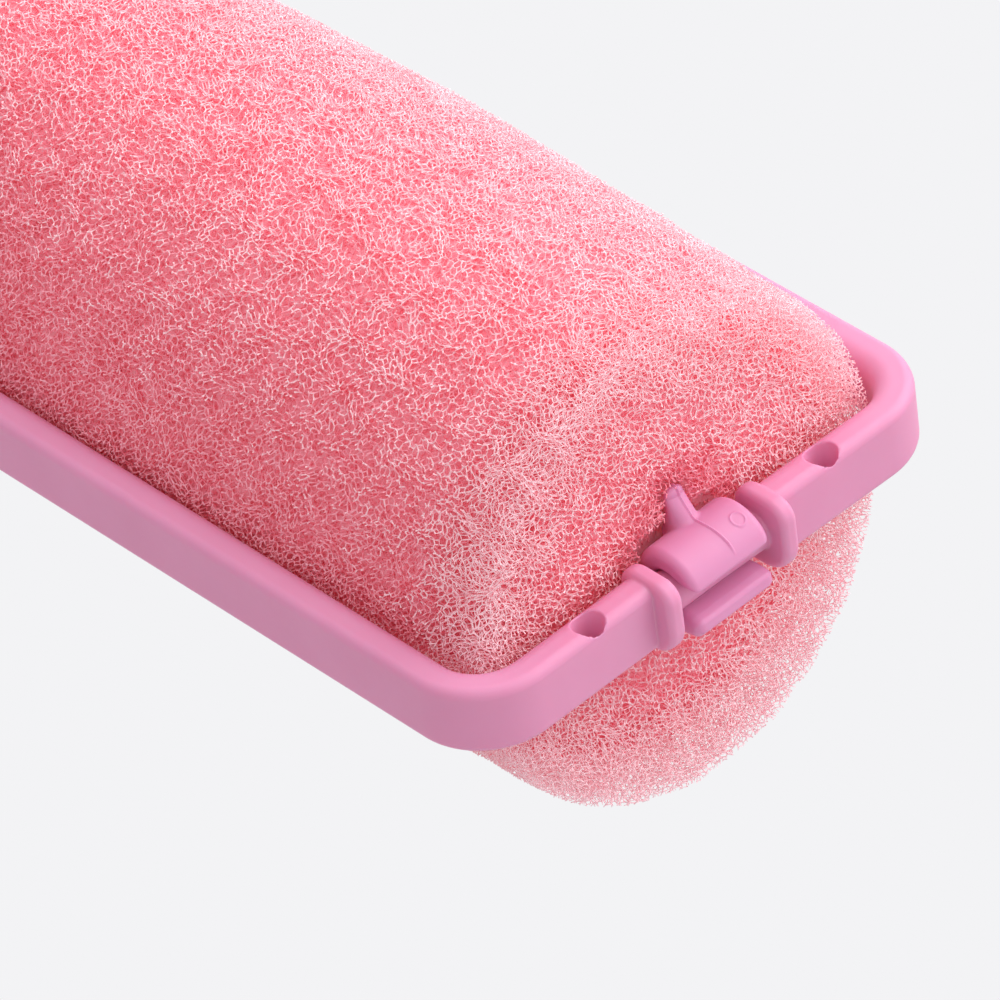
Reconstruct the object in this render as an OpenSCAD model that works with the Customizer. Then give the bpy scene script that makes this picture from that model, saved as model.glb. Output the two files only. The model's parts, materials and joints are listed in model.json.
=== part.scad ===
// Foam hair roller: a foam sleeve on a moulded core, closed by a moulded loop that hinges on one end
// of the core and snaps into a clip on the other.
// Frame: origin on the roller's long axis, midway between the hinge pin and the latch pin.
// +X runs from the hinge to the latch, +Z is the side that the thumb tab stands on, and the loop
// lies in the XY plane when it is closed. Millimetres.

/* [Foam] */
// Diameter of the foam sleeve
foam_d = 38; // [36:0.5:39]
// How far the foam hangs below the plane of the loop
foam_sag = 0.4; // [0:0.1:0.6]
// Width of the strip that the foam is flattened to where it rests
rest_w = 8; // [4:1:12]
// Gap from the latch pin's centre line to the foam's end face
latch_gap = 1.85; // [1.75:0.05:2.5]
// Gap from the hinge pin's centre line to the foam's other end face
hinge_gap = 3.3; // [3.2:0.1:4.5]

/* [Loop] */
// Distance between the hinge pin and the latch pin
pin_spacing = 75.2; // [60:0.2:90]
// Distance between the centre lines of the two side bars
bar_spacing = 41.2; // [40.8:0.1:44]
// Width of a bar, in the plane of the loop
bar_w = 2.8; // [2.4:0.1:3.2]
// Height of a bar, across the plane of the loop
bar_h = 5.4; // [4.6:0.1:6]
// Inside radius of the loop's corners
corner_r = 3; // [2.5:0.1:4]
// Diameter of the hinge pin and the latch pin
pin_d = 3; // [2.6:0.1:3.2]
// Distance of each blind hole from the middle of the latch bar
hole_y = 10.85; // [9:0.1:13]
// Diameter of the blind holes
hole_d = 2.3; // [1.6:0.1:2.3]

/* [Collars] */
// Distance from the middle of the pin to the near face of a collar
collar_y = 4.6; // [4:0.1:6]
// Thickness of a collar
collar_t = 1.4; // [1:0.1:2]
// How far a collar stands out from the pin's centre line, away from the foam
collar_out = 2.9; // [2.4:0.1:3.2]
// How far a collar reaches from the pin's centre line towards the foam
collar_in = 1.9; // [1.5:0.1:2]
// Height of a collar
collar_h = 6.1; // [5.6:0.1:6.4]

/* [Clip and core] */
// Length of the clip along the latch pin
clip_w = 7.2; // [5:0.1:7.6]
// Radius of the hood's outside
hood_r = 2.65; // [2.5:0.05:2.8]
// Width of the thumb tab
tab_w = 2; // [1.4:0.1:3]
// Diameter of the rod inside the foam
rod_d = 4.6; // [4:0.1:5]

/* [Hidden] */

LEFT = 1;
RIGHT = -1;
LATCH = 1;
HINGE = -1;

foam_color = [0.98, 0.56, 0.62];
plastic_color = [0.9, 0.5, 0.68];

// Play between a pin and what turns on it, and between the foam and what passes it
play = 0.05;
clear = 0.3;
$fn = 96;

pin_r = pin_d / 2;
socket_r = pin_r + play;
latch_x = pin_spacing / 2;
hinge_x = -pin_spacing / 2;
side_y = bar_spacing / 2;
half_w = bar_w / 2;
half_h = bar_h / 2;
// Radii of a bar's edges: a crisp outer edge and a full round towards the foam
outer_edge_r = 0.6;
inner_edge_r = half_w;
// Radius of the loop's corners at the middle of the bar, and where the straight bars end
bend_r = corner_r + half_w;
bend_x = latch_x - bend_r;
bend_y = side_y - bend_r;
collar_mid = collar_y + collar_t / 2;
collar_end = collar_y + collar_t;
collar_edge_r = 1.5;
// Radius of a collar's edge at the bottom, away from the foam
collar_foot_r = 2.2;
// Farthest point of a collar from the pin's centre line
collar_reach = norm([collar_out - collar_edge_r, collar_h / 2 - collar_edge_r]) + collar_edge_r;
// The blind holes narrow towards their floors and lie a little outside the bar's centre line
hole_depth = 2.8;
hole_floor_d = 1.2;
hole_x = 0.3;
// How far a cut runs past the face it opens
past = 1;

foam_r = foam_d / 2;
// Half width that the closed loop leaves for the foam
foam_half_w = side_y - half_w - clear;
foam_end = latch_x - latch_gap;
foam_start = hinge_x + hinge_gap;
// Depth of the strip flattened on the foam's underside
rest_depth = foam_r - sqrt(foam_r * foam_r - rest_w * rest_w / 4);
foam_bottom = -foam_sag - foam_r + rest_depth;
// Pockets in the foam's end behind the clip and behind the thumb tab when it is pressed
pocket_x = latch_x - 4.5;
pocket_h = 3.5;
tab_pocket_h = 6.4;

half_clip = clip_w / 2;
// The hood's centre, from the pin's centre line
hood_x = 0.35;
hood_z = 0.55;
// The jaws meet behind the pin, where the upper one bends
root_x = -2.3;
root_z = 0.2;
// The neck joins the lower jaw to the rod and stays clear of the upper jaw
neck_w = 4;
neck_h = 2.4;
neck_end = latch_x + root_x;
// Height of the front edge of the upper jaw
lip_z = 1.15;
// Outside radius of the hinge eye and the angle that its mouth is open
eye_r = 2.9;
eye_mouth = 70;

// Points of an arc, from angle a to angle b
function arc(x, y, r, a, b, steps = 8) =
    [for (i = [0 : steps]) let (t = a + (b - a) * i / steps) [x + r * cos(t), y + r * sin(t)]];

// A bar's section: x points out of the loop and y is up
module bar_section() {
    ox = half_w - outer_edge_r;
    oy = half_h - outer_edge_r;
    ix = inner_edge_r - half_w;
    iy = half_h - inner_edge_r;
    polygon(concat(
        arc(ox, oy, outer_edge_r, 0, 90, 5), arc(ix, iy, inner_edge_r, 90, 180),
        arc(ix, -iy, inner_edge_r, 180, 270), arc(ox, -oy, outer_edge_r, 270, 360, 5)
    ));
}

// A shape in the XZ plane, drawn thick along Y and centred on it
module along_y(thick) {
    rotate([90, 0, 0]) linear_extrude(height = thick, center = true) children();
}

module pin_cylinder(r, length) {
    rotate([90, 0, 0]) cylinder(r = r, h = length, center = true);
}

module side_bar(side) {
    color(plastic_color)
    translate([-bend_x, side * side_y, 0])
    rotate([90, 0, 90]) linear_extrude(height = 2 * bend_x)
    mirror([side == RIGHT ? 1 : 0, 0]) bar_section();
}

module corner(end, side) {
    color(plastic_color)
    translate([end * bend_x, side * bend_y, 0])
    mirror([end == HINGE ? 1 : 0, 0, 0]) mirror([0, side == RIGHT ? 1 : 0, 0])
    rotate_extrude(angle = 90) translate([bend_r, 0]) bar_section();
}

module end_bar(end, side) {
    translate([end * latch_x, side * (bend_y + collar_end) / 2, 0])
    mirror([end == HINGE ? 1 : 0, 0, 0])
    along_y(bend_y - collar_end) bar_section();
}

module latch_bar(side) {
    mouth_d = hole_d + (hole_d - hole_floor_d) * past / hole_depth;
    color(plastic_color)
    difference() {
        end_bar(LATCH, side);
        translate([latch_x + hole_x, side * hole_y, half_h - hole_depth])
        cylinder(d1 = hole_floor_d, d2 = mouth_d, h = hole_depth + past);
    }
}

module hinge_bar(side) {
    color(plastic_color) end_bar(HINGE, side);
}

module collar_section() {
    top = collar_h / 2 - collar_edge_r;
    front = collar_out - collar_edge_r;
    back = collar_in - collar_edge_r;
    foot_x = collar_out - collar_foot_r;
    foot_z = collar_foot_r - collar_h / 2;
    polygon(concat(
        arc(front, top, collar_edge_r, 0, 90), arc(-back, top, collar_edge_r, 90, 180),
        arc(-back, -top, collar_edge_r, 180, 270), arc(foot_x, foot_z, collar_foot_r, 270, 360)
    ));
}

module collar(end, side) {
    color(plastic_color)
    translate([end * latch_x, side * collar_mid, 0])
    mirror([end == HINGE ? 1 : 0, 0, 0])
    along_y(collar_t) collar_section();
}

module pin(end) {
    color(plastic_color)
    translate([end * latch_x, 0, 0]) pin_cylinder(pin_r, 2 * collar_y);
}

// Half of the space inside the closed loop: x is the distance from the hinge pin
module loop_inside() {
    reach = pin_spacing - latch_gap;
    round_r = corner_r - clear;
    polygon(concat(
        [[0, -foam_half_w]],
        arc(reach - round_r, round_r - foam_half_w, round_r, -90, 0),
        arc(reach - round_r, foam_half_w - round_r, round_r, 0, 90),
        [[0, foam_half_w]]
    ));
}

// What the loop leaves to the foam: everything it doesn't sweep as it opens upwards
module unswept() {
    below = collar_h / 2 + clear;
    translate([hinge_x, 0, 0]) rotate([-90, 0, 0]) rotate_extrude() loop_inside();
    translate([hinge_x, -foam_r, -2 * foam_r])
    cube([2 * pin_spacing, foam_d, 2 * foam_r - below]);
}

// Room around the hinge end of the loop, which turns beside the foam
module hinge_room() {
    corner_room = norm([bend_r, half_h]) + clear;
    corner_room_w = foam_r - bend_y + clear;
    translate([hinge_x, 0, 0])
    for (side = [LEFT, RIGHT]) {
        translate([0, side * (foam_r - corner_room_w / 2 + clear), 0])
        pin_cylinder(corner_room, corner_room_w);
        translate([0, side * collar_mid, 0])
        pin_cylinder(collar_reach + clear, collar_t + 2 * clear);
    }
}

// Room for the latch collars, from where they rest up along the circle that they swing on
module collar_room(side) {
    room_w = collar_t + 2 * clear;
    difference() {
        translate([bend_x, side * collar_mid - room_w / 2, -collar_h / 2 - clear])
        cube([bend_r, room_w, foam_d]);
        translate([hinge_x, 0, 0]) pin_cylinder(pin_spacing - collar_in - clear, foam_d);
    }
}

// Room in the foam's latch end: for the clip, for its tab when pressed, and for the collars
module latch_room() {
    room_w = clip_w + 2 * clear;
    tab_room_w = tab_w + 2 * clear;
    depth = foam_end - pocket_x + past;
    translate([pocket_x, -room_w / 2, -pocket_h]) cube([depth, room_w, 2 * pocket_h]);
    translate([pocket_x, -tab_room_w / 2, 0]) cube([depth, tab_room_w, tab_pocket_h]);
    collar_room(LEFT);
    collar_room(RIGHT);
}

module foam_sleeve() {
    length = foam_end - foam_start;
    color(foam_color)
    difference() {
        intersection() {
            translate([foam_start, 0, -foam_sag]) rotate([0, 90, 0]) cylinder(r = foam_r, h = length);
            translate([foam_start, -foam_half_w, foam_bottom])
            cube([length, 2 * foam_half_w, foam_d]);
            unswept();
        }
        hinge_room();
        latch_room();
        translate([hinge_x, 0, 0]) rotate([0, 90, 0]) cylinder(d = rod_d, h = pin_spacing);
    }
}

module core_rod() {
    color(plastic_color)
    difference() {
        translate([hinge_x, 0, 0]) rotate([0, 90, 0]) cylinder(d = rod_d, h = pocket_x - hinge_x);
        translate([hinge_x, 0, 0]) pin_cylinder(eye_r, 2 * clip_w);
    }
}

// An open ring that snaps over the hinge pin, with its mouth away from the foam
module hinge_eye() {
    mouth = 2 * eye_r;
    color(plastic_color)
    translate([hinge_x, 0, 0])
    along_y(clip_w)
    difference() {
        circle(r = eye_r);
        circle(r = socket_r);
        polygon([
            [0, 0], mouth * [-cos(eye_mouth / 2), sin(eye_mouth / 2)],
            mouth * [-cos(eye_mouth / 2), -sin(eye_mouth / 2)]
        ]);
    }
}

// A block from the end of the rod to the back of the lower jaw
module clip_neck() {
    color(plastic_color)
    translate([pocket_x, -neck_w / 2, root_z - neck_h])
    cube([neck_end - pocket_x, neck_w, neck_h]);
}

// The lower jaw is part of the core. Its lip reaches out under the pin.
module lower_jaw() {
    color(plastic_color)
    translate([latch_x, 0, 0])
    along_y(clip_w)
    difference() {
        polygon([
            [root_x, root_z], [root_x, -1.6], [-1.7, -2.6], [-0.6, -3.15], [1.3, -3.2], [2.3, -3],
            [2.8, -2.5], [2.9, -1.9], [2.4, -1.3], [1, -1.2], [0, root_z]
        ]);
        circle(r = socket_r);
        // the jaws part a little above the root
        translate([root_x, root_z]) rotate(-4) square([3, 2]);
    }
}

// The upper jaw is a hood over the pin, open towards +X
module upper_jaw() {
    color(plastic_color)
    translate([latch_x, 0, 0])
    along_y(clip_w)
    difference() {
        translate([hood_x, hood_z]) circle(r = hood_r);
        circle(r = socket_r);
        // below the line where the jaws part, and below the lip in front of the pin
        translate([-2 * hood_r, root_z - 2 * hood_r]) square(2 * hood_r);
        translate([0, lip_z - 2 * hood_r]) square(2 * hood_r);
    }
}

// A fin with an upright back and a slope in front, for the thumb
module thumb_tab() {
    color(plastic_color)
    translate([latch_x, 0, 0])
    along_y(tab_w)
    difference() {
        polygon([
            [-0.3, 3.2], [-1, 3.7], [-1.6, 4.25], [-2.2, 4.9], [-2.6, 5.35], [-2.85, 5.3],
            [-2.9, 4.6], [-2.75, 3.4], [-2.5, 2.4], [-1.8, 2]
        ]);
        translate([hood_x, hood_z]) circle(r = hood_r);
    }
}

foam_sleeve();
core_rod();
hinge_eye();
clip_neck();
lower_jaw();
upper_jaw();
thumb_tab();
side_bar(LEFT);  // side_bar_left
side_bar(RIGHT);  // side_bar_right
corner(LATCH, LEFT);  // latch_corner_left
corner(LATCH, RIGHT);  // latch_corner_right
corner(HINGE, LEFT);  // hinge_corner_left
corner(HINGE, RIGHT);  // hinge_corner_right
latch_bar(LEFT);  // latch_bar_left
latch_bar(RIGHT);  // latch_bar_right
hinge_bar(LEFT);  // hinge_bar_left
hinge_bar(RIGHT);  // hinge_bar_right
collar(LATCH, LEFT);  // latch_collar_left
collar(LATCH, RIGHT);  // latch_collar_right
collar(HINGE, LEFT);  // hinge_collar_left
collar(HINGE, RIGHT);  // hinge_collar_right
pin(LATCH);  // latch_pin
pin(HINGE);  // hinge_pin
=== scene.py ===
import json
import math

import bpy
import numpy as np
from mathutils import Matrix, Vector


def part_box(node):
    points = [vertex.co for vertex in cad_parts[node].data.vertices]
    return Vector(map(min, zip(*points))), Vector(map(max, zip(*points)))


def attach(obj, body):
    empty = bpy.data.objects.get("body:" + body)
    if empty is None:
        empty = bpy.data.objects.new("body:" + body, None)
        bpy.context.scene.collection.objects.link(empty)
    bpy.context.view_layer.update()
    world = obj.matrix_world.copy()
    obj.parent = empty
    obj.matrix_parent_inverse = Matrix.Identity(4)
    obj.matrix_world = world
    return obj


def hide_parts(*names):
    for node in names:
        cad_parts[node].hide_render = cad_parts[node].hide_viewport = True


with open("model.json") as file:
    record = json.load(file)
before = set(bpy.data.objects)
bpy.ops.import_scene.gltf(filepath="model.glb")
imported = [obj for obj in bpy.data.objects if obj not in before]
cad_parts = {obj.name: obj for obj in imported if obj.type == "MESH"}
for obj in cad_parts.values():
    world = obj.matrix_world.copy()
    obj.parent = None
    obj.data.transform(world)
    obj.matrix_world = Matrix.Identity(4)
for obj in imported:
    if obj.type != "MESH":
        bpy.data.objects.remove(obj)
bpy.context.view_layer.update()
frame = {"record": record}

import openvdb
from mathutils import Matrix, Vector

# Every shape below is worked out in millimetres, in the row frame, and written to its mesh in metres.
MM = 0.001
SEED = 11
rng = np.random.default_rng(SEED)


def box_mm(node):
    """A CAD node's lowest and highest corners, in millimetres."""
    low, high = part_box(node)
    return np.array(low) / MM, np.array(high) / MM


# ---------------------------------------------------------------- sizes, from the CAD frame
pin_low, pin_high = box_mm("latch_pin")
LATCH_X = (pin_low[0] + pin_high[0]) / 2
PIN_R = (pin_high[0] - pin_low[0]) / 2
HINGE_X = -LATCH_X
bar_low, bar_high = box_mm("side_bar_left")
SIDE_Y = (bar_low[1] + bar_high[1]) / 2
HALF_W = (bar_high[1] - bar_low[1]) / 2
HALF_H = bar_high[2]
BEND_R = LATCH_X - bar_high[0]
collar_low, collar_high = box_mm("latch_collar_left")
COLLAR_Y = (collar_low[1] + collar_high[1]) / 2
COLLAR_T = collar_high[1] - collar_low[1]
COLLAR_OUT = collar_high[0] - LATCH_X
COLLAR_IN = LATCH_X - collar_low[0]
COLLAR_H = collar_high[2]
jaw_low, jaw_high = box_mm("upper_jaw")
HALF_CLIP = jaw_high[1]
HOOD_R = (jaw_high[0] - jaw_low[0]) / 2
HOOD_X = (jaw_high[0] + jaw_low[0]) / 2 - LATCH_X
HOOD_Z = jaw_high[2] - HOOD_R
ROOT_Z = jaw_low[2]
tab_high = box_mm("thumb_tab")[1]
rod_low, rod_high = box_mm("core_rod")
ROD_R = rod_high[2]
neck_low, neck_high = box_mm("clip_neck")
eye_high = box_mm("hinge_eye")[1]
EYE_R = eye_high[2]
foam_low = box_mm("foam_sleeve")[0]

# ---------------------------------------------------------------- sizes that only the looks need
OUTER_EDGE_R = 0.75
COLLAR_EDGE_R = 1.5
COLLAR_RIM_R = 0.5
COLLAR_FOOT_R = 2.4
# How far the moulding's warp takes one latch corner outwards
CORNER_REACH = 0.35
# The blind holes beside the latch pin
HOLE_Y = 10.85
HOLE_R = 1.2
HOLE_X = 0.28
HOLE_FLOOR = -0.1
HOLE_TAPER = 0.25
# The gap round a pin, the height of the hood's lip, and the angle that the eye's mouth is open
PLAY = 0.05
LIP_Z = 1.15
EYE_MOUTH = math.radians(70)
# Where the jaws' root is, and the opened positions, in degrees, that the foam leaves room for
ROOT_X = LATCH_X - 2.3
JAW_OPEN = (5, 10, 14)

# The sleeve's radius at its middle, and how much less it is at its ends
FOAM_R = 19.2
FOAM_TAPER = 1.0
FOAM_SAG = 0.2
# How far the cut at the latch end slants: in at the top and out at the bottom
SLANT_TOP = 0.8
SLANT_BOTTOM = 1.9
RIM_R = 1.0
# The struts lie in a shell over a closed middle, whose rims are rounder below than above
SHELL = 1.0
HEART_RIM_R = (10.0, 6.5)
HEART_RIM_Z = (-6, 4)
# How far apart the lattice's points are, the width of their random moves as a share of that, and the
# angle and axis that turn the lattice out of line with the roller
CELL = 0.82
JITTER = 0.62
LATTICE_TURN = (0.61, (0.48, 0.62, 0.62))
STRUT_R = 0.059
# Depths at which the struts' tint of painted light and shade changes, and how much painted light makes the
# rims paler and painted shade makes the foam beside the clip and on the dark side deeper, as a depth
PAINTED_SHADE_STEPS = (0.3, 0.65, 1.1)
RIM_PAINTED_LIGHT = 0.7
CLIP_SHADE = 0.9
CLIP_SHADE_REACH = 2.5
SIDE_SHADE = 0.4
# The share by which the struts at the rims are slimmer
RIM_SLIM = 0.25
# How far the cells' rows are bent, and over what distance
WARP = 0.3
WARP_LENGTH = 3.3
# Depth past which the lower half has only a share of the struts
OPEN_DEPTH = 0.7
OPEN_SHARE = 0.5
# How far a strut's ends may reach into the room for the clip, and how much of the part of a strut that
# lies outside the foam is cut off
STRAY = 0.1
CUT_BACK = 0.8
# The room that struts and the foam's middle leave round the jaw and the loop, and round the core
STRUT_GAP = 0.25
HEART_GAP = 0.3
CORE_GAP = 0.03
# A strut's faces, and the most faces in one mesh
STRUT_FACES = 4
BAND_FACES = 195000

# How far a grid goes past its shape, and the grid steps of the moulded pieces and of the foam's middle
MARGIN = 0.4
LOOP_STEP = 0.16
JAW_STEP = 0.05
CORE_STEP = 0.1
HEART_STEP = 0.45

# The side that the studio's light comes from
BRIGHT_SIDE = (0.15, 0.85, 0.5)


# ---------------------------------------------------------------- distance fields
def length(a, b):
    return np.sqrt(a * a + b * b)


def smooth_min(a, b, k):
    """The union of two shapes with a fillet of about k between them."""
    h = np.clip(0.5 + 0.5 * (b - a) / k, 0, 1)
    return b + (a - b) * h - k * h * (1 - h)


def smooth_max(a, b, k):
    return -smooth_min(-a, -b, k)


def rounded_rectangle(u, v, half_u, half_v, r):
    """Distance to a rectangle whose corners have radius r, which may differ from point to point."""
    qu = np.abs(u) - half_u + r
    qv = np.abs(v) - half_v + r
    return np.minimum(np.maximum(qu, qv), 0) + length(np.maximum(qu, 0), np.maximum(qv, 0)) - r


def extruded(flat, across, half, r):
    """A flat shape's distance, drawn out to half on each side, with edges of radius r."""
    a = flat + r
    b = np.abs(across) - half + r
    return np.minimum(np.maximum(a, b), 0) + length(np.maximum(a, 0), np.maximum(b, 0)) - r


def polygon(u, v, points):
    """Signed distance to a closed outline."""
    best = np.full(np.broadcast(u, v).shape, 1e9)
    inside = np.zeros(best.shape, bool)
    for (au, av), (bu, bv) in zip(points, points[1:] + points[:1]):
        du, dv = bu - au, bv - av
        t = np.clip(((u - au) * du + (v - av) * dv) / (du * du + dv * dv), 0, 1)
        best = np.minimum(best, length(u - au - t * du, v - av - t * dv))
        crosses = (av > v) != (bv > v)
        if dv:
            inside ^= crosses & (u < au + (v - av) * du / dv)
    return np.where(inside, -best, best)


def loop_field(x, y, z):
    """The loop: four bars with round corners, two pairs of collars, and the two pins."""
    x = x - CORNER_REACH * np.clip(y / SIDE_Y, 0, 1) * np.clip(x / LATCH_X, 0, 1) ** 4
    off_line = rounded_rectangle(x, y, LATCH_X, SIDE_Y, BEND_R)
    edge_r = np.where(off_line > 0, OUTER_EDGE_R, HALF_W)
    bars = rounded_rectangle(off_line, z, HALF_W, HALF_H, edge_r)
    ax, ay = np.abs(x), np.abs(y)
    gap = np.maximum(LATCH_X / 2 - ax, ay - COLLAR_Y)
    bars = np.maximum(bars, -gap)
    middle = (COLLAR_OUT - COLLAR_IN) / 2
    out = ax - LATCH_X - middle
    corner_r = np.where((z < 0) & (out > 0), COLLAR_FOOT_R, COLLAR_EDGE_R)
    outline = rounded_rectangle(out, z, (COLLAR_OUT + COLLAR_IN) / 2, COLLAR_H, corner_r)
    collars = extruded(outline, ay - COLLAR_Y, COLLAR_T / 2, COLLAR_RIM_R)
    pins = extruded(length(ax - LATCH_X, z) - PIN_R, y, COLLAR_Y, 0.05)
    shape = smooth_min(smooth_min(bars, collars, 0.12), pins, 0.15)
    hole_r = HOLE_R - HOLE_TAPER * (HALF_H - z)
    hole = np.maximum(length(x - LATCH_X - HOLE_X, ay - HOLE_Y) - hole_r, HOLE_FLOOR - z)
    return smooth_max(shape, -hole, 0.1)


# The thumb tab's middle line, from its root on the hood to its tip, and how it narrows and thins
TAB_LINE = [(-1.5, 1.9), (-2.5, 4.75)]
TAB_THICK = (2.0, 0.42)
TAB_WIDE = (1.45, 0.8)
# The groove where the mould's halves met, and the ring that an ejector pin left
SEAM_Y = 0.3
SEAM_WIDE = 0.13
MARK_PLACE = (1.2, 2.3)
MARK_R = 0.5
MARK_WIDE = 0.08
MARK_DEEP = 0.06


def tab_field(u, y, z):
    """A fin with a rounded section that narrows towards its tip."""
    (au, av), (bu, bv) = TAB_LINE
    t = np.clip((z - av) / (bv - av), 0, 1)
    middle = au + (bu - au) * t
    thick = TAB_THICK[0] + (TAB_THICK[1] - TAB_THICK[0]) * t ** 0.8
    wide = TAB_WIDE[0] + (TAB_WIDE[1] - TAB_WIDE[0]) * np.sqrt(t)
    tip = np.maximum(z - bv, 0) / (tab_high[2] - bv)
    across = np.sqrt(((u - middle) / thick) ** 2 + ((y - SEAM_Y / 2) / wide) ** 2 + tip ** 2)
    return np.maximum((across - 1) * thick, av - z)


def jaw_field(x, y, z):
    """The upper jaw: a hood over the pin, with the thumb tab on it."""
    u = x - LATCH_X
    outside = length(u - HOOD_X, z - HOOD_Z) - HOOD_R
    outside = smooth_min(outside, length(u - HOOD_X + 0.5, z - HOOD_Z - 0.25) - HOOD_R + 0.15, 0.3)
    socket = PIN_R + PLAY - length(u, z)
    below = np.where(u < 0, ROOT_Z - z, LIP_Z - z)
    flat = smooth_max(smooth_max(outside, socket, 0.2), below, 0.35)
    hood = extruded(flat, y, HALF_CLIP, 0.6)
    # the parting line runs down the front of the tab and over the hood, where it drifts aside and fades
    line = np.abs(y - SEAM_Y - 0.12 * np.clip(u, 0, 2))
    groove = SEAM_WIDE * np.clip(1 - line / SEAM_WIDE, 0, 1)
    seam = groove * (u > -2.9) * np.clip((2.6 - u) * 2, 0, 1) * (z > 1.5)
    mark = length(u - MARK_PLACE[0], y - MARK_PLACE[1])
    ring = MARK_DEEP * np.exp(-(((mark - MARK_R) / MARK_WIDE) ** 2)) * (z > 0)
    shape = smooth_min(hood, tab_field(u, y, z), 0.35) - seam - ring
    return np.maximum(shape, socket)


# The lower jaw's outline from the side, before it is rounded, measured from the latch pin
LIP_OUTLINE = [
    (-1.9, -0.2), (-1.9, -1.5), (-1.4, -2.3), (-0.5, -2.75), (1.2, -2.8), (2.1, -2.6),
    (2.45, -2.2), (2.4, -1.8), (2.0, -1.7), (0.8, -1.7), (-0.3, -0.2),
]
LIP_ROUND = 0.4


def core_field(x, y, z):
    """The core moulding: the rod inside the foam, the hinge eye, the neck and the lower jaw."""
    rod_middle, rod_half = (rod_low[0] + rod_high[0]) / 2, (rod_high[0] - rod_low[0]) / 2
    rod = np.maximum(length(y, z) - ROD_R, np.abs(x - rod_middle) - rod_half)
    h = x - HINGE_X
    ring = np.maximum(length(h, z) - EYE_R, PIN_R + PLAY - length(h, z))
    mouth = np.abs(z) * math.cos(EYE_MOUTH / 2) + h * math.sin(EYE_MOUTH / 2)
    eye = extruded(smooth_max(ring, -mouth, 0.3), y, HALF_CLIP, 0.4)
    u = x - LATCH_X
    socket = PIN_R + PLAY - length(u, z)
    jaw = extruded(smooth_max(polygon(u, z, LIP_OUTLINE) - LIP_ROUND, socket, 0.2), y, HALF_CLIP, 0.7)
    neck_half = (neck_high - neck_low) / 2
    neck_mid = (neck_high + neck_low) / 2
    neck = extruded(
        rounded_rectangle(y - neck_mid[1], z - neck_mid[2], neck_half[1], neck_half[2], 0.5),
        x - neck_mid[0], neck_half[0] + 0.8, 0.2,
    )
    shape = smooth_min(smooth_min(rod, eye, 0.5), smooth_min(jaw, neck, 0.5), 0.5)
    return np.maximum(np.maximum(shape, socket), PIN_R + PLAY - length(h, z))


def turned(x, z, degrees):
    """Where a point of the opened jaw is when the jaw is shut."""
    a = math.radians(degrees)
    dx, dz = x - ROOT_X, z - ROOT_Z
    return ROOT_X + dx * math.cos(a) + dz * math.sin(a), ROOT_Z - dx * math.sin(a) + dz * math.cos(a)


# ---------------------------------------------------------------- meshes from distance fields
def axis(low, high, step):
    """Even places from low to high, about a step apart."""
    return np.linspace(low, high, max(2, int(round((high - low) / step)) + 1))


def surface(field, xs, ys, zs, sharpen=3):
    """Points and faces where a field sampled on three axes is nought, moved onto it exactly."""
    grid_x, grid_y, grid_z = np.meshgrid(xs, ys, zs, indexing="ij", sparse=True)
    values = field(grid_x, grid_y, grid_z)
    spacing = min(np.diff(a).min() for a in (xs, ys, zs))
    grid = openvdb.FloatGrid(4 * spacing)
    grid.copyFromArray(np.ascontiguousarray(np.clip(values, -3 * spacing, 3 * spacing), np.float32))
    points, _, quads = grid.convertToPolygons(0.0, 0.0)
    points = np.asarray(points, float)
    p = np.stack([np.interp(points[:, i], np.arange(len(a)), a) for i, a in enumerate((xs, ys, zs))], 1)
    for _ in range(sharpen):
        d, n = distance_and_slope(field, p)
        p -= np.clip(d, -spacing, spacing)[:, None] * n
    return p, np.asarray(quads, int).reshape(-1, 4), distance_and_slope(field, p)[1]


def distance_and_slope(field, p, e=0.02):
    d = field(p[:, 0], p[:, 1], p[:, 2])
    n = np.stack([
        field(*(p + e * np.eye(3)[i]).T) - field(*(p - e * np.eye(3)[i]).T) for i in range(3)
    ], 1) / (2 * e)
    steep = np.linalg.norm(n, axis=1)
    return d / np.maximum(steep, 0.3), n / np.maximum(steep, 1e-6)[:, None]


def new_mesh(name, points, faces, normals=None):
    """A mesh object from numpy points in millimetres and faces that all have as many corners.

    It is shaded smoothly when it is given normals.
    """
    mesh = bpy.data.meshes.new(name)
    corners = faces.shape[1]
    mesh.vertices.add(len(points))
    mesh.vertices.foreach_set("co", (np.asarray(points) * MM).astype(np.float32).ravel())
    mesh.loops.add(faces.size)
    mesh.loops.foreach_set("vertex_index", faces.astype(np.int32).ravel())
    mesh.polygons.add(len(faces))
    mesh.polygons.foreach_set("loop_start", np.arange(0, faces.size, corners, dtype=np.int32))
    mesh.polygons.foreach_set("use_smooth", np.full(len(faces), normals is not None))
    mesh.update(calc_edges=True)
    mesh.validate()
    if normals is not None:
        mesh.normals_split_custom_set_from_vertices(normals.tolist())
    piece = bpy.data.objects.new(name, mesh)
    bpy.context.scene.collection.objects.link(piece)
    return piece


# ---------------------------------------------------------------- foam
FOAM_START = HINGE_X + 3.3
FOAM_END = LATCH_X - 1.85
FOAM_X = (FOAM_START + FOAM_END) / 2
FOAM_HALF = (FOAM_END - FOAM_START) / 2


def heart_rim(z):
    """The radius of the rims of the foam's solid-looking middle, larger below than above."""
    return np.interp(z, HEART_RIM_Z, HEART_RIM_R)


def foam_room(x, y, z, gap=STRUT_GAP):
    """Distance to the hollows in the foam: the core fills its own, and the jaw and the loop need a gap."""
    jaw = jaw_field(x, y, z)
    for degrees in JAW_OPEN:
        tx, tz = turned(x, z, degrees)
        jaw = np.minimum(jaw, jaw_field(tx, y, tz))
    moving = np.minimum(jaw, loop_field(x, y, z))
    return np.minimum(moving - gap, core_field(x, y, z) - CORE_GAP)


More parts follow.
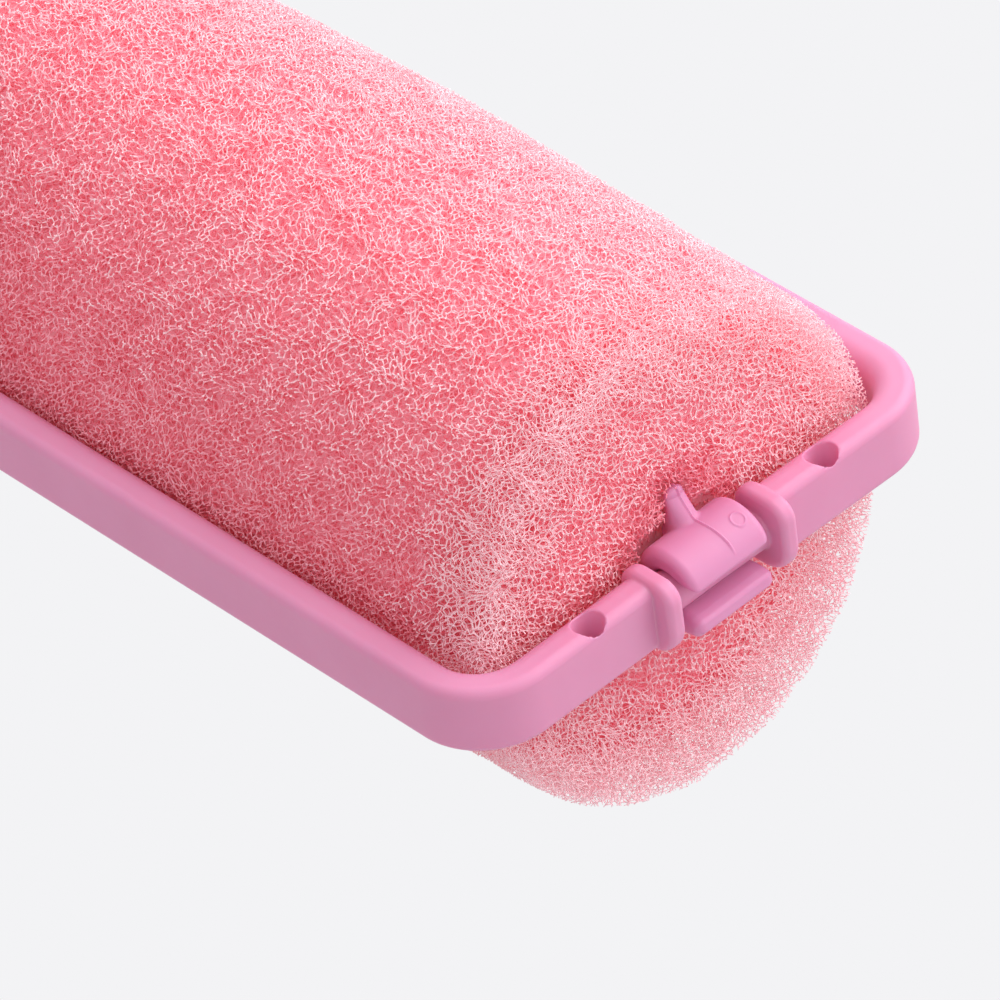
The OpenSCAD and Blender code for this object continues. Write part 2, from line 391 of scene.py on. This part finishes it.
def sleeve(x, y, z, inset, edge_r):
    """Distance to the foam, brought in by inset, with round edges of radius edge_r."""
    from_middle = np.clip(np.abs(x - FOAM_X) / FOAM_HALF, 0, 1.1)
    r = length(y, z + FOAM_SAG) + FOAM_TAPER * from_middle ** 1.5
    slant = np.where(z > 0, SLANT_TOP, SLANT_BOTTOM) * np.clip(z / FOAM_R, -1, 1)
    along = x - FOAM_X + slant * (x > 0)
    round_part = rounded_rectangle(r, along, FOAM_R - inset, FOAM_HALF - inset, edge_r)
    flat_part = foam_low[2] + inset - z
    return smooth_max(round_part, flat_part, 1.0)


def pore_noise(p, scale, seed):
    """Smooth noise from -1 to 1 out of a few random waves."""
    waves = np.random.default_rng(seed)
    total = np.zeros(len(p))
    for _ in range(10):
        direction = waves.normal(size=3)
        direction /= np.linalg.norm(direction)
        wave = p @ direction * (2 * math.pi / scale) * waves.uniform(0.6, 1.6)
        total += np.sin(wave + waves.uniform(0, 6.3))
    return total / 4.5


# An open-cell foam's struts are the edges of cells packed like bubbles. Bubbles round the points of a
# body-centred lattice have 12 corners and 24 edges in each cube; moving the points makes them uneven.
def lattice_cell():
    """The four lattice points round each cell corner in a unit cube, and the edges that start there."""
    corners = []
    for a in range(3):
        for shift in (0, 0.5):
            for quarter in (0.25, 0.75):
                p = np.zeros(3)
                p[a], p[(a + 1) % 3], p[(a + 2) % 3] = shift, quarter, 0.5 + shift
                corners.append(p % 1)
    corners = np.unique(np.round(corners, 4), axis=0)
    steps = np.array([(i, j, k) for i in (-1, 0, 1) for j in (-1, 0, 1) for k in (-1, 0, 1)])
    seeds = []
    for c in corners:
        near = []
        for kind, base in enumerate(((0, 0, 0), (0.5, 0.5, 0.5))):
            for s in steps:
                if abs(np.linalg.norm(base + s - c) - math.sqrt(5) / 4) < 0.01:
                    near.append((kind, *s))
        seeds.append(near)
    edges = []
    for i, c in enumerate(corners):
        for j, d in enumerate(corners):
            for s in steps:
                joined = abs(np.linalg.norm(d + s - c) - math.sqrt(2) / 4) < 0.01
                if joined and (tuple(s), j) > ((0, 0, 0), i):
                    edges.append((i, j, *s))
    return np.array(seeds), np.array(edges)


def bent(p):
    """Points moved a little by smooth noise, which breaks up the rows that a lattice has."""
    return p + WARP * np.stack([pore_noise(p, WARP_LENGTH, seed) for seed in (21, 22, 23)], 1)


def foam_lattice():
    """The lattice's moved points by kind, the cubes near the shell, and what takes them to the foam."""
    turn = np.array(Matrix.Rotation(LATTICE_TURN[0], 3, LATTICE_TURN[1]))
    signs = np.array([(sx, sy, sz) for sx in (-1, 1) for sy in (-1, 1) for sz in (-1, 1)])
    box = signs * (FOAM_HALF, FOAM_R, FOAM_R)
    spans = np.abs(box @ turn).max(0) / CELL + 2
    n = np.ceil(2 * spans).astype(int)
    points = rng.uniform(-0.5, 0.5, (2, *(n + 2), 3)) * JITTER
    grid = np.stack(np.meshgrid(*(np.arange(k) for k in n + 2), indexing="ij"), -1)
    points[0] += grid
    points[1] += grid + 0.5
    centre = np.array([FOAM_X, 0, -FOAM_SAG])
    cubes = np.stack(np.meshgrid(*(np.arange(1, k + 1) for k in n), indexing="ij"), -1).reshape(-1, 3)
    place = (cubes + 0.5 - (n + 2) / 2) * CELL @ turn.T + centre
    cover = shell_depth(place)
    cubes = cubes[(cover > -2 * CELL) & (cover < SHELL + 4.5 * CELL)]
    return points, cubes, n, turn, centre


def foam_struts():
    """Both ends of every strut in the outer shell of the foam."""
    seeds, edges = lattice_cell()
    points, cubes, n, turn, centre = foam_lattice()

    def corner(which, shift):
        """A cell corner in every cube: the mean of the four lattice points round it."""
        total = 0
        for kind, *step in seeds[which]:
            at = cubes + shift + step
            total = total + points[kind][tuple(np.clip(at, 0, n + 1).T)]
        return total / 4

    starts = [corner(i, np.zeros(3, int)) for i, j, *s in edges]
    ends = [corner(j, np.array(s)) for i, j, *s in edges]
    a, b = (((np.concatenate(v) - (n + 2) / 2) * CELL) @ turn.T + centre for v in (starts, ends))
    return bent(a), bent(b)


def shell_depth(p):
    """How deep a point lies under the foam's uneven surface."""
    rough = 0.1 * pore_noise(p, 3.1, 5) + 0.05 * pore_noise(p, 0.9, 6)
    return -sleeve(p[:, 0], p[:, 1], p[:, 2], 0, RIM_R) + rough


def core_depth(p):
    """How far outside the foam's solid-looking middle a point lies."""
    return sleeve(p[:, 0], p[:, 1], p[:, 2], SHELL, heart_rim(p[:, 2]))


def make_struts():
    """Both ends of every strut that the foam has, cut off at its surface."""
    a, b = foam_struts()
    da, db = shell_depth(a), shell_depth(b)
    keep = np.maximum(da, db) > 0
    keep &= np.maximum(core_depth(a), core_depth(b)) > -0.15
    a, b, da, db = a[keep], b[keep], da[keep], db[keep]
    middle = (a + b) / 2
    clear = foam_room(*middle.T) > 0
    clear &= foam_room(*a.T) > -STRAY
    clear &= foam_room(*b.T) > -STRAY
    # light shows through the rims below, so the lower half has only half of its deeper struts
    deep = np.minimum(da, db) > OPEN_DEPTH
    clear &= ~deep | (middle[:, 2] > 0) | (rng.uniform(size=len(a)) < OPEN_SHARE)
    a, b, da, db = a[clear], b[clear], da[clear], db[clear]
    # a strut that the cut surface crosses is cut there and leaves a stub
    out = da < 0
    a[out] += (b - a)[out] * (-da / (db - da))[out, None] * CUT_BACK
    out = db < 0
    b[out] += (a - b)[out] * (-db / (da - db))[out, None] * CUT_BACK
    return a, b


def wedges(a, b, radius):
    """Closed slim solids from a to b, with an edge across each end, the two a quarter turn apart.

    Like a real strut, each is wide where it joins its neighbours and slim between.
    """
    along = b - a
    size = np.linalg.norm(along, axis=1)
    along = along / np.maximum(size, 1e-6)[:, None]
    side = np.cross(along, rng.normal(size=a.shape))
    side /= np.linalg.norm(side, axis=1)[:, None]
    other = np.cross(along, side)
    r = radius[:, None]
    past = along * r * 0.4
    side, other = side * r, other * r
    points = np.stack([a - past - side, a - past + side, b + past - other, b + past + other], 1)
    shape = np.array([(0, 1, 2), (0, 3, 1), (0, 2, 3), (1, 3, 2)])
    faces = (np.arange(len(a))[:, None, None] * 4 + shape).reshape(-1, 3)
    return points.reshape(-1, 3), faces


def foam_heart(x, y, z):
    """The middle of the foam, seen only between the struts."""
    return smooth_max(sleeve(x, y, z, SHELL, heart_rim(z)), -foam_room(x, y, z, HEART_GAP), 0.4)


# ---------------------------------------------------------------- materials
# The colour of a speck in the plastic
SPECK = (0.25, 0.05, 0.12, 1)


def material(name, colour, roughness, **settings):
    """A Principled material; settings are more of its sockets."""
    mat = bpy.data.materials.new(name)
    mat.use_nodes = True
    shader = mat.node_tree.nodes["Principled BSDF"]
    shader.inputs["Base Color"].default_value = (*colour, 1)
    shader.inputs["Roughness"].default_value = roughness
    for socket, value in settings.items():
        shader.inputs[socket.replace("_", " ")].default_value = value
    return mat, mat.node_tree.nodes, mat.node_tree.links, shader


def add(nodes, kind, **values):
    """A new node; values are its sockets, or else its own settings."""
    node = nodes.new(kind)
    for key, value in values.items():
        if key in node.inputs:
            node.inputs[key].default_value = value
        else:
            setattr(node, key, value)
    return node


def ramp(nodes, *stops):
    """A colour ramp through pairs of place and colour."""
    node = nodes.new("ShaderNodeValToRGB")
    elements = node.color_ramp.elements
    while len(elements) < len(stops):
        elements.new(0.5)
    for element, (place, colour) in zip(elements, stops):
        element.position = place
        element.color = (*colour, 1)
    return node


def srgb(r, g, b):
    """A colour given in 0 to 255 as the linear one that shaders take."""
    shares = (r / 255, g / 255, b / 255)
    return tuple(c / 12.92 if c <= 0.04045 else ((c + 0.055) / 1.055) ** 2.4 for c in shares)


def noise(nodes, links, place, **values):
    """A noise texture in the object's own coordinates."""
    node = add(nodes, "ShaderNodeTexNoise", **values)
    links.new(place.outputs["Object"], node.inputs["Vector"])
    return node


def compare(nodes, links, output, operation, threshold):
    """One where an output is past a threshold, and nought elsewhere."""
    node = add(nodes, "ShaderNodeMath", operation=operation)
    node.inputs[1].default_value = threshold
    links.new(output, node.inputs[0])
    return node


def specked(nodes, links, place, tone):
    """A colour with a dark speck in the middle of a few of the cells that fill the plastic."""
    cells = add(nodes, "ShaderNodeTexVoronoi", Scale=330.0, Randomness=1.0)
    links.new(place.outputs["Object"], cells.inputs["Vector"])
    chosen = nodes.new("ShaderNodeSeparateColor")
    links.new(cells.outputs["Color"], chosen.inputs["Color"])
    rare = compare(nodes, links, chosen.outputs["Red"], "GREATER_THAN", 0.93)
    near = compare(nodes, links, cells.outputs["Distance"], "LESS_THAN", 0.028)
    speck = add(nodes, "ShaderNodeMath", operation="MULTIPLY")
    links.new(rare.outputs[0], speck.inputs[0])
    links.new(near.outputs[0], speck.inputs[1])
    mix = add(nodes, "ShaderNodeMix", data_type="RGBA")
    mix.inputs["B"].default_value = SPECK
    links.new(speck.outputs[0], mix.inputs["Factor"])
    links.new(tone, mix.inputs["A"])
    return mix.outputs["Result"]


def satin(nodes, links, place, shader):
    """A fine grain in the gloss and the surface, over slight waves from the moulding."""
    grain = noise(nodes, links, place, Scale=2600.0, Detail=4.0)
    shine = add(nodes, "ShaderNodeMapRange")
    shine.inputs["To Min"].default_value = 0.4
    shine.inputs["To Max"].default_value = 0.56
    links.new(grain.outputs["Fac"], shine.inputs["Value"])
    links.new(shine.outputs["Result"], shader.inputs["Roughness"])
    flow = noise(nodes, links, place, Scale=420.0, Detail=2.0)
    bump = add(nodes, "ShaderNodeBump", Strength=0.25, Distance=0.00003)
    links.new(flow.outputs["Fac"], bump.inputs["Height"])
    fine = add(nodes, "ShaderNodeBump", Strength=0.25, Distance=0.000004)
    links.new(grain.outputs["Fac"], fine.inputs["Height"])
    links.new(bump.outputs["Normal"], fine.inputs["Normal"])
    links.new(fine.outputs["Normal"], shader.inputs["Normal"])


def plastic(name, colour, deep):
    """Moulded plastic: soft mottling, a fine satin grain, and a few dark specks."""
    mat, nodes, links, shader = material(
        name, colour, 0.42, Subsurface_Weight=0.35, Subsurface_Scale=0.0012, IOR=1.47
    )
    shader.inputs["Subsurface Radius"].default_value = (1.0, 0.35, 0.5)
    place = nodes.new("ShaderNodeTexCoord")
    mottle = noise(nodes, links, place, Scale=140.0, Detail=3.0)
    tone = ramp(nodes, (0.3, deep), (0.75, colour))
    links.new(mottle.outputs["Fac"], tone.inputs["Fac"])
    colours = specked(nodes, links, place, tone.outputs["Color"])
    links.new(colours, shader.inputs["Base Color"])
    satin(nodes, links, place, shader)
    return mat


def strut_material(name, colour, pale):
    """Foam struts: satin, with patches of them a little paler than others."""
    mat, nodes, links, shader = material(name, colour, 0.5, Specular_IOR_Level=0.3)
    place = nodes.new("ShaderNodeTexCoord")
    patches = noise(nodes, links, place, Scale=160.0, Detail=5.0, Roughness=0.7)
    tone = ramp(nodes, (0.35, colour), (0.7, pale))
    links.new(patches.outputs["Fac"], tone.inputs["Fac"])
    links.new(tone.outputs["Color"], shader.inputs["Base Color"])
    return mat


def heart_material(name, colour, deep):
    """The foam's middle: small cells, with painted shade deep in their pores and paler walls."""
    mat, nodes, links, shader = material(name, colour, 0.8)
    place = nodes.new("ShaderNodeTexCoord")
    cells = add(nodes, "ShaderNodeTexVoronoi", Scale=1700.0, feature="DISTANCE_TO_EDGE")
    links.new(place.outputs["Object"], cells.inputs["Vector"])
    # painted shade: each cell is deeper in colour towards its middle, the pore, than at its walls
    tone = ramp(nodes, (0.02, colour), (0.22, deep))
    links.new(cells.outputs["Distance"], tone.inputs["Fac"])
    links.new(tone.outputs["Color"], shader.inputs["Base Color"])
    bump = add(nodes, "ShaderNodeBump", Strength=0.4, Distance=0.0002)
    bump.invert = True
    links.new(cells.outputs["Distance"], bump.inputs["Height"])
    links.new(bump.outputs["Normal"], shader.inputs["Normal"])
    return mat


# ---------------------------------------------------------------- the pieces
def dressed(piece, mat, body, slot, *nodes):
    """A finished piece: its material, the body it rides on, and the CAD nodes it replaces. The slot is not
    used.
    """
    piece.data.materials.append(mat)
    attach(piece, body)
    if nodes:
        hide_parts(*nodes)
    return piece


def make_loop():
    loop_mat = plastic("loop_plastic", srgb(224, 147, 184), srgb(220, 141, 178))
    fine_x = axis(LATCH_X - BEND_R - 1, LATCH_X + COLLAR_OUT + MARGIN, LOOP_STEP)
    coarse_x = axis(-fine_x[0], fine_x[0], 0.9)[1:-1]
    xs = np.concatenate([-fine_x[::-1], coarse_x, fine_x])
    half_y = SIDE_Y + HALF_W + MARGIN
    zs = axis(-COLLAR_H - MARGIN, COLLAR_H + MARGIN, LOOP_STEP)
    loop = new_mesh("loop_moulding", *surface(loop_field, xs, axis(-half_y, half_y, LOOP_STEP), zs))
    dressed(loop, loop_mat, "loop", "loop_plastic", *frame["record"]["behaviour"]["bodies"]["loop"])


def make_jaw_and_core():
    core_mat = plastic("core_plastic", srgb(217, 142, 183), srgb(213, 136, 177))
    half_y = HALF_CLIP + 0.3
    jaw = new_mesh("clip_hood", *surface(
        jaw_field, axis(LATCH_X - 3.3, LATCH_X + 3.4, JAW_STEP), axis(-half_y, half_y, JAW_STEP),
        axis(ROOT_Z - MARGIN, tab_high[2] + MARGIN, JAW_STEP),
    ))
    dressed(jaw, core_mat, "jaw", "core_plastic", "upper_jaw", "thumb_tab")

    clip_x = axis(LATCH_X - 5.2, LATCH_X + 3.3, CORE_STEP)
    eye_x = axis(HINGE_X - 3.3, HINGE_X + 3.9, CORE_STEP)
    xs = np.concatenate([eye_x, axis(eye_x[-1], clip_x[0], 1.5)[1:-1], clip_x])
    core = new_mesh("core_moulding", *surface(
        core_field, xs, axis(-half_y, half_y, CORE_STEP), axis(-3.6, 3.3, CORE_STEP)
    ))
    dressed(core, core_mat, "core", "core_plastic", "core_rod", "hinge_eye", "clip_neck", "lower_jaw")


def make_heart():
    # the second colour is the painted shade in the pores
    heart_mat = heart_material("foam_heart", srgb(252, 176, 190), srgb(252, 159, 176))
    heart = new_mesh("foam_heart", *surface(
        foam_heart, axis(FOAM_START, FOAM_END, HEART_STEP), axis(-FOAM_R, FOAM_R, HEART_STEP),
        axis(-FOAM_R - 1, FOAM_R, HEART_STEP), 1,
    ))
    dressed(heart, heart_mat, "core", "foam", "foam_sleeve")


def painted_shade_and_sizes(a, b):
    """Each strut's tint of painted light and shade, 0 for the palest, lit one to 3 for the deepest, shaded
    one, and its radius.
    """
    # the tint is painted light and shade: struts are paler where light would reach deeper, at the rims,
    # where struts are all there is, and on the bright side, and deeper in colour where shade falls beside
    # the clip
    place = (a + b) / 2
    depth = shell_depth(place)
    # how much deeper than the shell the struts go here
    thick = core_depth(place) + depth - SHELL
    # painted shade beside the clip, fading out over CLIP_SHADE_REACH
    clip_room = np.minimum(jaw_field(*place.T), core_field(*place.T))
    shade = np.clip(1 - clip_room / CLIP_SHADE_REACH, 0, 1) * (place[:, 0] > 0)
    lit = place @ np.array(BRIGHT_SIDE) / FOAM_R
    # painted light and shade: the level is the depth, made less at the rims and on the bright side and
    # more beside the clip and on the dark side
    level = depth - RIM_PAINTED_LIGHT * thick + CLIP_SHADE * shade + SIDE_SHADE * (0.3 - lit)
    return np.digitize(level, PAINTED_SHADE_STEPS), STRUT_R * (1 - RIM_SLIM * np.clip(thick / 1.5, 0, 1))


def make_network():
    """The struts, in bands along the roller that are each one mesh."""
    # lit and shaded copies of one strut colour: painted light on the outside struts, painted shade on the
    # deep ones
    lit_and_shaded_copies = [
        strut_material("foam_painted_lit", srgb(254, 213, 221), srgb(255, 222, 228)),
        strut_material("foam_painted_half_lit", srgb(252, 177, 191), srgb(253, 188, 201)),
        strut_material("foam_painted_half_shaded", srgb(250, 156, 174), srgb(252, 167, 184)),
        strut_material("foam_painted_shaded", srgb(242, 126, 146), srgb(245, 138, 156)),
    ]
    a, b = make_struts()
    order = np.argsort((a[:, 0] + b[:, 0]) / 2, kind="stable")
    painted_shade_step, size = painted_shade_and_sizes(a, b)
    bands = int(math.ceil(len(a) * STRUT_FACES / BAND_FACES))
    for k, part in enumerate(np.array_split(order, bands)):
        radius = size[part] * rng.uniform(0.8, 1.25, len(part))
        band = new_mesh(f"foam_struts_{k + 1:02d}", *wedges(a[part], b[part], radius))
        for mat in lit_and_shaded_copies:
            band.data.materials.append(mat)
        face_painted_shade_steps = np.repeat(painted_shade_step[part], STRUT_FACES).astype(np.int32)
        band.data.polygons.foreach_set("material_index", face_painted_shade_steps)
        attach(band, "core")


# ---------------------------------------------------------------- camera, light and floor
def look(obj, right, up, back, place):
    """Stand an object at a place, with its own axes along the three directions given."""
    rows = [[right[i], up[i], back[i], place[i]] for i in range(3)]
    obj.matrix_world = Matrix(rows + [[0, 0, 0, 1]])


# The photograph's view: the camera's own axes and its place in metres, and how narrow its lens is
CAMERA_RIGHT = (0.69164, 0.71391, -0.10939)
CAMERA_UP = (-0.41363, 0.5157, 0.75031)
CAMERA_BACK = (0.59206, -0.4737, 0.65197)
CAMERA_PLACE = (0.33935, -0.25779, 0.34919)
LENS = 288
SENSOR = 36


def make_camera():
    data = bpy.data.cameras.new("camera")
    data.lens = LENS
    data.sensor_width = SENSOR
    data.clip_start, data.clip_end = 0.01, 50
    camera = bpy.data.objects.new("camera", data)
    bpy.context.scene.collection.objects.link(camera)
    look(camera, CAMERA_RIGHT, CAMERA_UP, CAMERA_BACK, CAMERA_PLACE)
    bpy.context.scene.camera = camera


def area_light(name, place, target, size, power):
    data = bpy.data.lights.new(name, "AREA")
    data.shape = "DISK"
    data.size = size
    data.energy = power
    light = bpy.data.objects.new(name, data)
    bpy.context.scene.collection.objects.link(light)
    light.location = place
    light.visible_camera = False
    light.rotation_mode = "QUATERNION"
    light.rotation_quaternion = (Vector(target) - Vector(place)).to_track_quat("-Z", "Y")


def glow(nodes, links, output, shader_kind, seen, given):
    """A shader that the camera sees as one brightness and that lights the object with another."""
    path = nodes.new("ShaderNodeLightPath")
    mix = nodes.new("ShaderNodeMixShader")
    lit, shown = nodes.new(shader_kind), nodes.new(shader_kind)
    lit.inputs["Color"].default_value = (*given, 1)
    shown.inputs["Color"].default_value = (*seen, 1)
    links.new(path.outputs["Is Camera Ray"], mix.inputs["Fac"])
    links.new(lit.outputs[0], mix.inputs[1])
    links.new(shown.outputs[0], mix.inputs[2])
    links.new(mix.outputs[0], output.inputs["Surface"])
    return lit


# What the camera sees behind the object, what light the sky and the floor give it, and the sky's
# strength from its dark side to its bright one
BACKDROP = srgb(243, 243, 245)
SKY = (1.0, 1.0, 1.01)
FLOOR = (0.75, 0.75, 0.76)
SKY_LEVELS = (0.43, 1.34)
FLOOR_SIZE = 12
# How far below the foam the floor lies, in metres
FLOOR_GAP = 0.0005


def make_sky():
    world = bpy.data.worlds.new("studio")
    bpy.context.scene.world = world
    world.use_nodes = True
    nodes, links = world.node_tree.nodes, world.node_tree.links
    sky = glow(nodes, links, nodes["World Output"], "ShaderNodeBackground", BACKDROP, SKY)
    # the studio is brighter above and behind the roller than in front of it
    place = nodes.new("ShaderNodeTexCoord")
    toward = add(nodes, "ShaderNodeVectorMath", operation="DOT_PRODUCT")
    toward.inputs[1].default_value = BRIGHT_SIDE
    links.new(place.outputs["Generated"], toward.inputs[0])
    level = add(nodes, "ShaderNodeMapRange")
    for socket, value in zip(("From Min", "From Max", "To Min", "To Max"), (-1, 1, *SKY_LEVELS)):
        level.inputs[socket].default_value = value
    links.new(toward.outputs["Value"], level.inputs["Value"])
    links.new(level.outputs["Result"], sky.inputs["Strength"])


def make_floor():
    bpy.ops.mesh.primitive_plane_add(size=FLOOR_SIZE, location=(0, 0, foam_low[2] * MM - FLOOR_GAP))
    floor = bpy.context.object
    floor.name = "floor"
    mat = bpy.data.materials.new("floor")
    mat.use_nodes = True
    nodes, links = mat.node_tree.nodes, mat.node_tree.links
    nodes.remove(nodes["Principled BSDF"])
    glow(nodes, links, nodes["Material Output"], "ShaderNodeEmission", BACKDROP, FLOOR)
    floor.data.materials.append(mat)


def make_stage():
    scene = bpy.context.scene
    scene.view_settings.view_transform = "Standard"
    # light has to bounce often between pale struts
    scene.cycles.max_bounces = 24
    scene.cycles.diffuse_bounces = 24
    scene.cycles.glossy_bounces = 8
    make_sky()
    make_floor()
    area_light("key", place=(0.11, 0.28, 0.26), target=(0, 0, 0), size=0.46, power=1.08)


make_camera()
make_loop()
make_jaw_and_core()
make_heart()
make_network()
make_stage()
